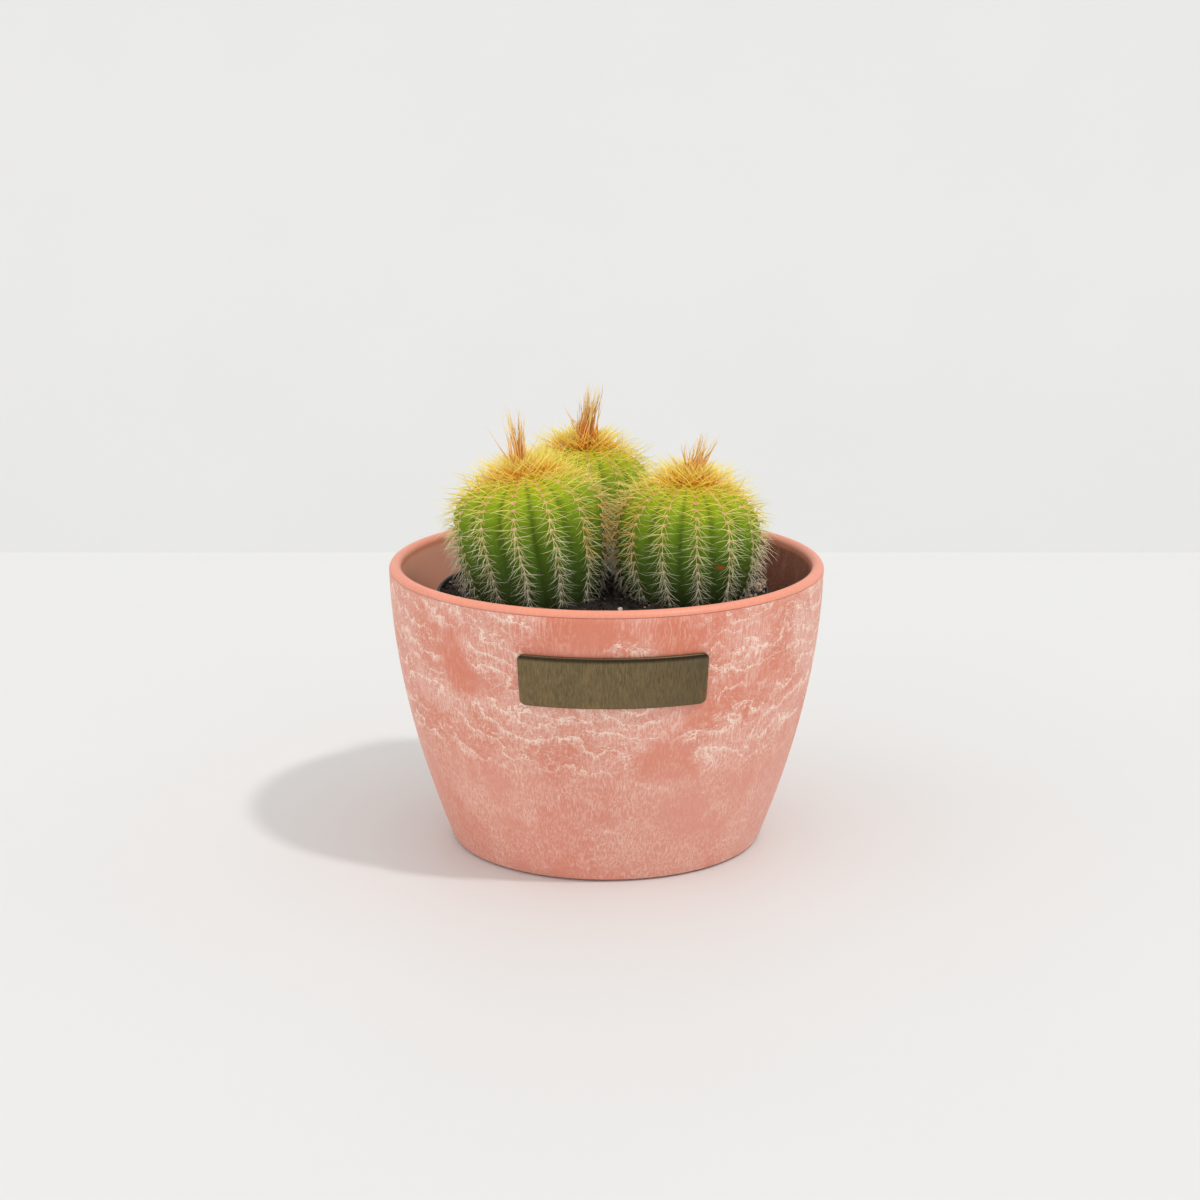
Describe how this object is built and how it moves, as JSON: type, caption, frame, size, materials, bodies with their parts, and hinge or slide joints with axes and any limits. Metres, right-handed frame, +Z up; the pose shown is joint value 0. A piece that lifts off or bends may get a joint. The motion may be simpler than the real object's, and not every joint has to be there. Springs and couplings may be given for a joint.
{
  "type": "potted parodia cactus",
  "caption": "Ribbed, yellow-spined parodia cactus with several round heads, growing in peat in a round tapered planter with a blank brass plate on its front.",
  "frame": {"origin": "centre of the planter's foot, on the surface it stands on", "axes": "+Z up along the planter's axis, -Y towards the front with the plate, +X to the right seen from the front"},
  "size_m": [0.127, 0.1278, 0.1312],
  "materials": {
    "planter": "satin stone-filled resin in salmon terracotta, with wispy cream marbling below a plain lip",
    "black_plastic": "thin black moulded plastic",
    "peat": "dark damp peat with pale grit",
    "antique_brass": "brushed antique brass with a bright bevelled edge, blank",
    "cactus": "waxy yellow-green skin, darker towards the soil, with golden to whitish spines"
  },
  "bodies": {
    "root": {"pot": "planter", "nursery_pot": "black_plastic", "soil": "peat", "plaque": "antique_brass", "head_left": "cactus", "head_right": "cactus", "head_back": "cactus"}
  },
  "joints": []
}
